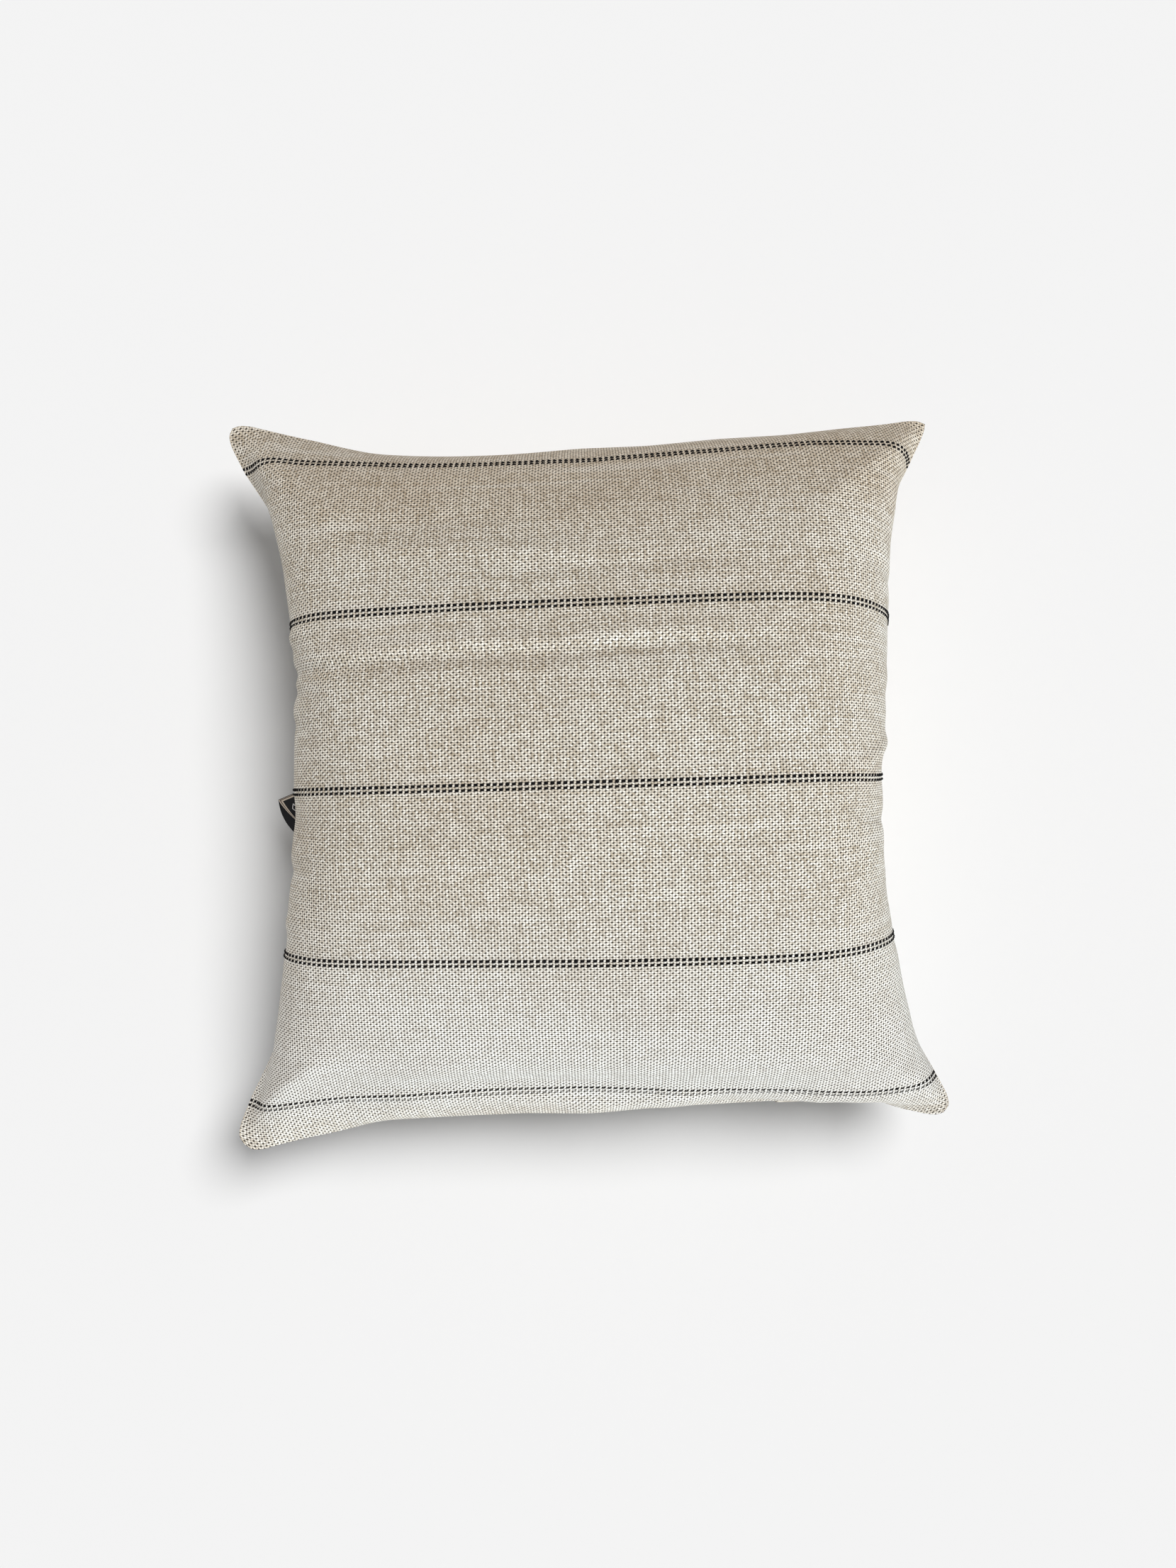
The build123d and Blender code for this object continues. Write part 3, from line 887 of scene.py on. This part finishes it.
def zip_coil(name, up, material, node):
    """A nylon monofilament wound in flat loops along the tape's edge."""
    turns = int(2 * CHAIN_HALF_LENGTH / COIL_PITCH)
    steps = 14
    angle = np.linspace(0, 2 * np.pi * turns, turns * steps + 1)
    wire = 0.00028
    half_z = (COIL_Z[1] - COIL_Z[0]) / 2 - wire
    half_y = (COIL_Y[1] - COIL_Y[0]) / 2 - wire
    x = -CHAIN_HALF_LENGTH + COIL_PITCH * angle / (2 * np.pi) + (0.0 if up > 0 else COIL_PITCH / 2)
    x = np.minimum(x, CHAIN_HALF_LENGTH - wire)
    z = up * (sum(COIL_Z) / 2 - half_z * np.cos(angle))
    y = sum(COIL_Y) / 2 + half_y * np.sin(angle)
    path = zip_points(x, y, z)
    along = unit(np.gradient(path, axis=0))
    side = unit(np.cross(along, ZIP_ALONG))
    rings = tube_points(path, side, np.cross(side, along), wire, wire, 6)
    piece = add_mesh(name, rings, tube_faces(len(path), 6), material, "cover")
    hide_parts(node)


def zip_stitches(name, up, material, node):
    """A row of stitches that holds the tape to the hem."""
    bundle = Bundle()
    pitch, length = 0.003, 0.0024
    count = int(2 * ZIP_HALF_LENGTH / pitch) - 1
    for k in range(count):
        start = -ZIP_HALF_LENGTH + pitch * (k + 0.6)
        t = np.linspace(0, 1, 7)
        x = start + length * t
        y = 0.00345 - 0.0002 * np.sin(math.pi * t)
        bundle.add(bare_tube(zip_points(x, y, up * 0.0056), 0.00016, 6))
    piece = bundle.build(name, material, "cover")
    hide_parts(node)


def soften_edges(node, width, material):
    """Rounds a CAD part's edges for the render and gives it its finish."""
    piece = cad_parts[node]
    piece.data.materials.clear()
    piece.data.materials.append(material)
    bevel = piece.modifiers.new("edge", "BEVEL")
    bevel.width = width
    bevel.segments = 2
    bevel.limit_method = "ANGLE"
    bevel.angle_limit = math.radians(35)


# ---------------------------------------------------------------- label
LABEL_SEAM_ALLOWANCE = 0.0015
LABEL_THICKNESS = 0.00035
LABEL_Z = 0.0622


def label(material):
    """A folded strip of tape: the fold is at its upper end and its two tails fan out from the seam."""
    corner = np.array((-0.2182, -0.0114))
    tails = {"upper": (-0.2120, -0.0195), "lower": (-0.2172, -0.0275)}
    feet = {"upper": (-0.2018, -0.0290), "lower": (-0.2018, -0.0388)}
    root = np.array((-0.2012, -0.0040))
    p, q = np.meshgrid(np.linspace(0, 1, 25), np.linspace(0, 1, 17), indexing="ij")
    grids, places = [], []
    for layer, (name, height) in enumerate((("upper", 0.0009), ("lower", -0.0003))):
        bend, foot = np.array(tails[name]), np.array(feet[name])
        outer = ((1 - p) ** 2)[..., None] * corner + (2 * p * (1 - p))[..., None] * bend
        outer = outer + (p**2)[..., None] * foot
        inner_foot = foot + (0.0006, 0.0016)
        inner = (1 - p)[..., None] * root + p[..., None] * inner_foot
        plan = (1 - q)[..., None] * outer + q[..., None] * inner
        swell = 0.0016 * np.sin(math.pi * p) * (1 - q) * (1 if layer == 0 else -0.6)
        parting = 0.25 + 0.75 * np.sin(math.pi * np.minimum(p * 4, 1) / 2)
        z = LABEL_Z + height * parting + swell - 0.001 * q
        grids.append(np.concatenate([plan, z[..., None]], -1))
        places.append(np.stack([p, q, np.full_like(p, layer)], -1))
    strip = np.concatenate([grids[1][::-1], grids[0][1:]])
    place = np.concatenate([places[1][::-1], places[0][1:]])
    piece = add_mesh("loop_label", strip, grid_faces(*strip.shape[:2]), material, "label")
    write_layer(piece, "tape", place)
    add_thickness(piece, LABEL_THICKNESS)
    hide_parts("woven_label")
    label_root(grids, material)


def label_root(layers, material):
    """The label's sewn-in end: from each layer's inner edge into the seam. It stays with the cover."""
    seam = seam_line("left", np.linspace(0, 1, 2000), 1)
    s = np.linspace(0, 1, 5)[None, :, None]
    points, places, faces = [], [], []
    for number, layer in enumerate(layers):
        edge = layer[:, -1]
        x = np.interp(edge[:, 1], seam[:, 1], seam[:, 0]) + LABEL_SEAM_ALLOWANCE
        z = np.interp(edge[:, 1], seam[:, 1], seam[:, 2])
        held = np.stack([x, edge[:, 1], z], -1)
        rows = edge[:, None] * (1 - s) + held[:, None] * s
        faces += grid_faces(*rows.shape[:2], first=number * rows.shape[0] * rows.shape[1])
        points.append(rows.reshape(-1, 3))
        p = np.broadcast_to(np.linspace(0, 1, rows.shape[0])[:, None], rows.shape[:2])
        places.append(np.stack([p, np.ones_like(p), np.full_like(p, number)], -1).reshape(-1, 3))
    piece = add_mesh("label_root", np.concatenate(points), faces, material, "cover")
    write_layer(piece, "tape", np.concatenate(places))
    add_thickness(piece, LABEL_THICKNESS)


# ---------------------------------------------------------------- inner pillow
INSERT_SCALE = (0.968, 0.968, 0.955)
FILLING_SCALE = (0.955, 0.955, 0.925)
INSERT_CORNER_PULL = 0.07
INSERT_CENTRE = np.array((0.0, 0.0, 0.066))


def shrunk(grid, scale):
    """A smaller copy of a panel, drawn in further at the corners, which the inner pillow doesn't fill."""
    u, v = fractions(grid.shape[:2])
    corner = 1.0 - INSERT_CORNER_PULL * (((2 * u - 1) * (2 * v - 1)) ** 2)[..., None]
    pull = np.concatenate([corner, corner, np.ones_like(corner)], -1)
    return INSERT_CENTRE + (grid - INSERT_CENTRE) * scale * pull


def insert(front, back, cotton, thread, fibre):
    """The inner pillow: a casing in two halves, the thread that closes it, and its filling."""
    for name, grid, up, node in (
        ("inner_pillow_front", front, 1, "insert_casing_front"),
        ("inner_pillow_back", back, -1, "insert_casing_back"),
    ):
        points = shrunk(grid, INSERT_SCALE)
        piece = add_mesh(name, points, grid_faces(*points.shape[:2], up < 0), cotton, "cover")
        mark_fabric(piece, points.shape[:2])
        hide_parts(node)
    edge = grid_edge(shrunk((front + back) / 2, INSERT_SCALE), ("left", "top", "right", "bottom"))
    seam_thread("inner_pillow_stitching", edge, thread, "insert_seam_thread", True)
    filling([shrunk(grid[::2, ::2], FILLING_SCALE) for grid in (front, back)], fibre)


def filling(coarse, material):
    """One closed, lumpy body of fibre between the two given grids."""
    lump = soft_noise(14, 14, coarse[0].shape[:2])
    u, v = fractions(coarse[0].shape[:2])
    for grid, up in zip(coarse, (1, -1)):
        grid -= grid_normals(grid, up) * (0.0015 * (1 + lump) * hump(u, 8) * hump(v, 8))[..., None]
    rows, columns = coarse[0].shape[:2]
    points = np.concatenate([coarse[0].reshape(-1, 3), coarse[1].reshape(-1, 3)])
    faces = grid_faces(rows, columns) + grid_faces(rows, columns, True, rows * columns)
    rim = [*range(columns)]
    rim += [k * columns + columns - 1 for k in range(1, rows)]
    rim += [(rows - 1) * columns + k for k in range(columns - 2, -1, -1)]
    rim += [k * columns for k in range(rows - 2, 0, -1)]
    for here, there in zip(rim, rim[1:] + rim[:1]):
        faces.append((there, here, here + rows * columns, there + rows * columns))
    piece = add_mesh("fibre_fill", points, faces, material, "cover")
    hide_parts("fibre_filling")


# ---------------------------------------------------------------- camera, floor and light
LIGHT_DISTANCE = 3.0


def add_camera():
    """Straight above the pillow, looking down, with the top edge of the picture towards +Y."""
    camera = bpy.data.objects.new("camera", bpy.data.cameras.new("camera"))
    camera.data.lens = 29.5
    camera.location = (0.0, 0.0, 0.968)
    bpy.context.scene.collection.objects.link(camera)
    bpy.context.scene.camera = camera


def add_light(name, energy, colour, azimuth, elevation, spread, receivers):
    """A soft, distant light from a direction given in degrees, where azimuth 0 is +X and 90 is +Y."""
    light = bpy.data.objects.new(name, bpy.data.lights.new(name, "SUN"))
    light.data.energy = energy
    light.data.color = colour
    light.data.angle = math.radians(spread)
    a, e = math.radians(azimuth), math.radians(elevation)
    towards = Vector((math.cos(e) * math.cos(a), math.cos(e) * math.sin(a), math.sin(e)))
    light.location = towards * LIGHT_DISTANCE
    light.rotation_euler = towards.to_track_quat("Z", "Y").to_euler()
    bpy.context.scene.collection.objects.link(light)
    light.light_linking.receiver_collection = receivers


def group(name, objects):
    collection = bpy.data.collections.new(name)
    for piece in objects:
        collection.objects.link(piece)
    return collection


def add_lights(floor):
    world = bpy.data.worlds.new("studio")
    bpy.context.scene.world = world
    world.use_nodes = True
    background = world.node_tree.nodes["Background"]
    background.inputs["Color"].default_value = (1.0, 1.0, 1.0, 1.0)
    background.inputs["Strength"].default_value = 0.26
    only_floor = group("floor_light", [floor])
    only_pillow = group("pillow_light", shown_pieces())
    add_light("floor_key", 2.88, (1.0, 1.0, 1.0), 47, 54, 32, only_floor)
    add_light("window", 2.6, (0.93, 0.985, 1.0), -47, 21, 30, only_pillow)
    add_light("lamp", 0.85, (1.0, 0.88, 0.74), 104, 38, 50, only_pillow)
    add_light("ceiling", 1.60, (1.0, 0.99, 0.975), -80, 78, 80, only_pillow)


# ---------------------------------------------------------------- build
add_camera()
floor_corners = [(-4, -4, 0), (4, -4, 0), (4, 4, 0), (-4, 4, 0)]
floor = add_mesh("floor", floor_corners, [(0, 1, 2, 3)], studio_floor())
floor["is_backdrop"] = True
front_coarse, back_coarse = filled_panels(floor)
back_coarse[..., 2] = np.maximum(back_coarse[..., 2], FLOOR_GAP)

front_grid = fold(bow_weave(refine(front_coarse, FINE)), 1, (*FOLDS, PULL_COVER))
back_grid = fold(refine(back_coarse, FINE), -1, (*FOLDS, PULL_ROOM))
back_grid[..., 2] = np.maximum(back_grid[..., 2], FLOOR_GAP)

cloth, yarn = cover_cloth(), black_yarn()
panel("cover_front", front_grid, 1, cloth, "cover_front_panel")
panel("cover_back", back_grid, -1, cloth, "cover_back_panel")
stripe_yarns("weft_stripes_front", front_grid, 1, yarn)
stripe_yarns("weft_stripes_back", back_grid, -1, yarn)

ecru = twisted_thread("ecru_thread", (0.50, 0.43, 0.33), (0.68, 0.61, 0.50))
white_thread = twisted_thread("white_thread", (0.66, 0.65, 0.62), (0.82, 0.81, 0.78))
sewn_edge = grid_edge(front_grid, ("left", "top", "right"))
seam_thread("cover_seam_stitching", sewn_edge, ecru, "cover_seam_thread")

tape, nylon, metal = tape_cloth(), moulded_coil(), aged_metal()
for side, up in (("front", 1), ("back", -1)):
    hem(f"zip_hem_{side}", up, cloth)
    zip_tape(f"zip_tape_{side}", up, tape, f"zipper_tape_{side}")
    zip_coil(f"zip_coil_{side}", up, nylon, f"zipper_coil_{side}")
    zip_stitches(f"zip_stitches_{side}", up, ecru, f"zipper_stitching_{side}")
for node in ("zipper_slider_body", "zipper_pull_tab", "zipper_top_stops", "zipper_bottom_stop"):
    soften_edges(node, 0.00018, metal)

label(label_tape())
insert_grids = front_grid[::FINE, ::FINE], back_grid[::FINE, ::FINE]
insert(*insert_grids, fine_cotton(), white_thread, loose_fibre())

add_lights(floor)
bpy.context.scene.view_settings.view_transform = "Standard"
